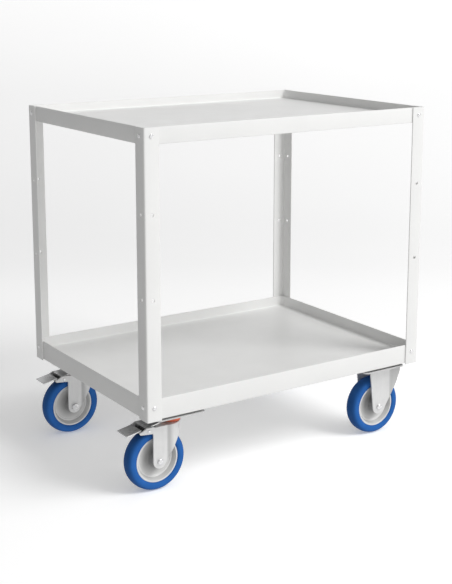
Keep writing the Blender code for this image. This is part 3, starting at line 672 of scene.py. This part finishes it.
def hex_nut(build):
    """A hexagon nut about Z that stands on the leg, with a washer face below and a chamfered top."""
    low = LEG_FACE
    high = LEG_FACE + NUT_HEIGHT
    washer = 0.96 * NUT_ACROSS / 2
    washer_top = low + 0.0006
    crown = 0.93 * NUT_ACROSS / 2
    chamfer = math.tan(math.radians(30))
    turns = [2 * math.pi * i / NUT_STEPS for i in range(NUT_STEPS)]
    sides = [(hexagon_reach(NUT_ACROSS, a), math.cos(a), math.sin(a)) for a in turns]
    loops = [
        ring(washer, low, NUT_STEPS),
        ring(washer, washer_top, NUT_STEPS),
        [(reach * x, reach * y, washer_top) for reach, x, y in sides],
        [(reach * x, reach * y, high - (reach - crown) * chamfer) for reach, x, y in sides],
        ring(crown, high, NUT_STEPS),
        ring(NUT_BORE, high, NUT_STEPS),
        ring(NUT_BORE, low, NUT_STEPS),
    ]
    loft(build, loops, wrap=True)


bolt_mesh = shape("axle_bolt", "steel", lambda b: turned(b, BOLT_PROFILE, 40))
nut_mesh = shape("axle_nut", "steel", hex_nut)

for y_name, y in SIDES:
    outward = Matrix.Rotation(math.radians(-90 * y), 4, "X")
    inward = Matrix.Rotation(math.radians(90 * y), 4, "X")
    for kind in ("swivel", "fixed"):
        name = f"{y_name}_{kind}"
        hub_place = Matrix.Translation(middle(f"{name}_tyre"))
        for node, mesh, slot, turn in (
            (f"{name}_tyre", tyre_mesh, "blue_rubber", outward),
            (f"{name}_hub", hub_mesh, "hub_plastic", outward),
            (f"{name}_axle", bolt_mesh, "steel", outward),
            (f"{name}_axle_nut", nut_mesh, "steel", inward),
        ):
            place(f"{node}_detail", mesh, slot, NODE_BODY[node], hub_place @ turn, [node])


# Swivel heads: the pressed plate with its race, and the orange seal round it
PLATE_HALF = (0.0675, 0.055)
PLATE_SHEET = 0.004
PLATE_CORNER = 0.008
PLATE_EDGE = 0.0007
PLATE_SOFT = 0.0002
RACE_HEIGHT = 0.012
RACE_PROFILE = rounded_profile(
    [(8.4, 12.5), (21.0, 12.5), (21.0, 1.6), (19.6, 0.2), (8.4, 0.2)],
    (0, 0, 1.0, 0.6, 0), closed=True)
SEAL_PROFILE = rounded_profile(
    [(14.5, 0.0), (22.4, 0.0), (24.0, 3.0), (24.0, 19.6), (21.4, 19.6), (21.4, 8.0), (14.5, 8.0)],
    (0, 1.2, 2.0, 0.6, 0.3, 0.3, 0), steps=3, closed=True)


def plate_shell(build):
    """A flat plate on top of the race, with rounded edges."""
    low = RACE_HEIGHT
    high = RACE_HEIGHT + PLATE_SHEET
    section = [
        (PLATE_EDGE, low), (PLATE_SOFT, low + PLATE_SOFT), (0, low + PLATE_EDGE),
        (0, high - PLATE_EDGE), (PLATE_SOFT, high - PLATE_SOFT), (PLATE_EDGE, high),
    ]
    loops = [
        oblong((0, 0), PLATE_HALF[0] - inward, PLATE_HALF[1] - inward, PLATE_CORNER - inward, z, 6)
        for inward, z in section
    ]
    loft(build, loops, caps=True)


seal_mesh = shape("swivel_seal", "seal_plastic", lambda b: turned(b, SEAL_PROFILE, 72, wrap=True))
plate_mesh = shape(
    "swivel_plate", "zinc_plate", plate_shell, lambda b: turned(b, RACE_PROFILE, 72, wrap=True))


# Screws that hold the caster plates, four to a plate, with their heads below it
PLATE_SCREW = mm([(1.8, 0.1), (2.2, 0.9), (4.2, 0.9), (5.6, 0.5), (6.0, 0.0), (6.0, -0.4)])
PLATE_SCREW_PLACES = [(x * 0.0525, y * 0.046) for x in (-1, 1) for y in (-1, 1)]
plate_screw_mesh = shape("plate_screw", "steel", lambda b: turned(b, PLATE_SCREW, 32))


def plate_screws(caster, node):
    """Four screws under the plate of a caster."""
    low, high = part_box(node)
    for number, (dx, dy) in enumerate(PLATE_SCREW_PLACES, 1):
        spot = Vector(((low.x + high.x) / 2 + dx, (low.y + high.y) / 2 + dy, high.z - PLATE_SHEET))
        below = Matrix.Translation(spot) @ Matrix.Rotation(math.pi, 4, "X")
        place(f"{caster}_plate_screw_{number}", plate_screw_mesh, "steel", "cart", below)


for y_name, y in SIDES:
    plate = f"{y_name}_swivel_plate"
    place(f"{plate}_pressing", plate_mesh, "zinc_plate", "cart", Matrix.Translation(foot(plate)), [plate])
    seal = f"{y_name}_swivel_seal"
    place(f"{seal}_lip", seal_mesh, "seal_plastic", NODE_BODY[seal], Matrix.Translation(foot(seal)), [seal])
    plate_screws(f"{y_name}_swivel", plate)
    plate_screws(f"{y_name}_fixed", f"{y_name}_fixed_bracket")


# Stage: a pale sweep, and a round wall for the views from other sides
STAGE_CURVE = 3.0
STAGE_TOP = 9.0
CURVE_STEPS = 12
SWEEP_NEAR = -9.0
SWEEP_FAR = 5.0
SWEEP_HALF = 14.0
SWEEP_TURN = -33.5
SWEEP_GLOW = 0.28
SWEEP_TONES = ((0.10, 1.0), (0.30, 0.94), (0.52, 0.69), (0.76, 0.66), (0.86, 0.85))
DRUM_INNER = 8.0
DRUM_DROP = 0.01
DRUM_GLOW = 0.62


def rising_curve(start):
    """A quarter round from the floor up into a wall, as (distance, height)."""
    turns = [math.radians(90 * i / CURVE_STEPS) for i in range(CURVE_STEPS + 1)]
    return [(start + STAGE_CURVE * math.sin(a), STAGE_CURVE - STAGE_CURVE * math.cos(a)) for a in turns]


def pale_material(name, dark, light):
    """A matt pale grey with faint clouds, its node tree, its shader and its object coordinates."""
    material, tree, shader, coords = new_material(name)
    clouds = tone_ramp(tree, noise(tree, coords, scale=1.5, detail=2), ((0.3, dark), (0.7, light)))
    tree.links.new(clouds, shader.inputs["Base Color"])
    shader.inputs["Roughness"].default_value = 0.9
    shader.inputs["Specular IOR Level"].default_value = 0.1
    return material, tree, shader, coords


def stage_object(name, build, material):
    """A smooth object from a bmesh."""
    mesh = bpy.data.meshes.new(name)
    build.to_mesh(mesh)
    build.free()
    mesh.polygons.foreach_set("use_smooth", [True] * len(mesh.polygons))
    mesh.materials.append(material)
    obj = bpy.data.objects.new(name, mesh)
    scene.collection.objects.link(obj)
    return obj


def stage_floor():
    """A floor that curves up into a back wall, with a faint glow that is weaker in the curve."""
    material, tree, shader, coords = pale_material("pale_floor", 0.89, 0.90)
    place_on_sweep = tree.nodes.new("ShaderNodeSeparateXYZ")
    tree.links.new(coords, place_on_sweep.inputs[0])
    back = spread(tree, place_on_sweep.outputs["Y"], 0, 1, 0, SWEEP_FAR)
    tree.links.new(tone_ramp(tree, back, SWEEP_TONES), shader.inputs["Emission Color"])
    shader.inputs["Emission Strength"].default_value = SWEEP_GLOW
    profile = [(SWEEP_NEAR, 0.0), *rising_curve(SWEEP_FAR - STAGE_CURVE), (SWEEP_FAR, STAGE_TOP)]
    build = bmesh.new()
    rows = [[build.verts.new((x, y, z)) for y, z in profile] for x in (-SWEEP_HALF, SWEEP_HALF)]
    for i in range(len(profile) - 1):
        build.faces.new((rows[0][i], rows[1][i], rows[1][i + 1], rows[0][i + 1]))
    floor = stage_object("studio_sweep", build, material)
    floor.rotation_euler = (0, 0, math.radians(SWEEP_TURN))
    floor.visible_diffuse = False
    return floor


def stage_drum():
    """A pale round wall beyond the sweep that the camera meets in the views from other sides."""
    material, _, shader, _ = pale_material("pale_drum", 0.39, 0.40)
    shader.inputs["Emission Color"].default_value = (1, 1, 1, 1)
    shader.inputs["Emission Strength"].default_value = DRUM_GLOW
    profile = [(r, z - DRUM_DROP) for r, z in rising_curve(DRUM_INNER)]
    profile.append((DRUM_INNER + STAGE_CURVE, STAGE_TOP))
    build = bmesh.new()
    loft(build, [ring(r, z, 96) for r, z in profile])
    drum = stage_object("studio_drum", build, material)
    drum.visible_diffuse = False
    drum.visible_glossy = False
    drum.visible_transmission = False
    drum.visible_shadow = False


sweep = stage_floor()
stage_drum()


# Light: a world that is brighter towards the front, a key light, and a light on the floor alone
WORLD_BASE = 0.48
WORLD_LEAST = 0.12
WORLD_SLOPE = (0.09, -0.40, -0.09)
CART_MIDDLE = Vector((0, 0, 0.45))


def studio_world():
    """A white world whose strength rises along the slope, and nowhere falls below the least."""
    world = bpy.data.worlds.new("studio")
    scene.world = world
    world.use_nodes = True
    tree = world.node_tree
    direction = tree.nodes.new("ShaderNodeTexCoord").outputs["Generated"]
    along = tree.nodes.new("ShaderNodeVectorMath")
    along.operation = "DOT_PRODUCT"
    along.inputs[1].default_value = WORLD_SLOPE
    tree.links.new(direction, along.inputs[0])
    strength = along.outputs["Value"]
    for operation, value in (("ADD", WORLD_BASE), ("MAXIMUM", WORLD_LEAST)):
        node = tree.nodes.new("ShaderNodeMath")
        node.operation = operation
        node.inputs[1].default_value = value
        tree.links.new(strength, node.inputs[0])
        strength = node.outputs[0]
    background = tree.nodes["Background"]
    background.inputs["Color"].default_value = (1, 1, 1, 1)
    tree.links.new(strength, background.inputs["Strength"])


def disk_light(name, size, power, location):
    """A round light that looks at the cart's middle."""
    data = bpy.data.lights.new(name, "AREA")
    data.shape = "DISK"
    data.size = size
    data.energy = power
    light = bpy.data.objects.new(name, data)
    light.location = location
    light.rotation_euler = (CART_MIDDLE - light.location).to_track_quat("-Z", "Y").to_euler()
    scene.collection.objects.link(light)
    return light


studio_world()
disk_light("key", size=3.4, power=295, location=(3.0, -4.8, 5.4))
floor_light = disk_light("floor_light", size=2.6, power=90, location=(5.6, -3.7, 5.6))
floor_only = bpy.data.collections.new("floor_only")
floor_only.objects.link(sweep)
floor_light.light_linking.receiver_collection = floor_only
scene.view_settings.view_transform = "Standard"
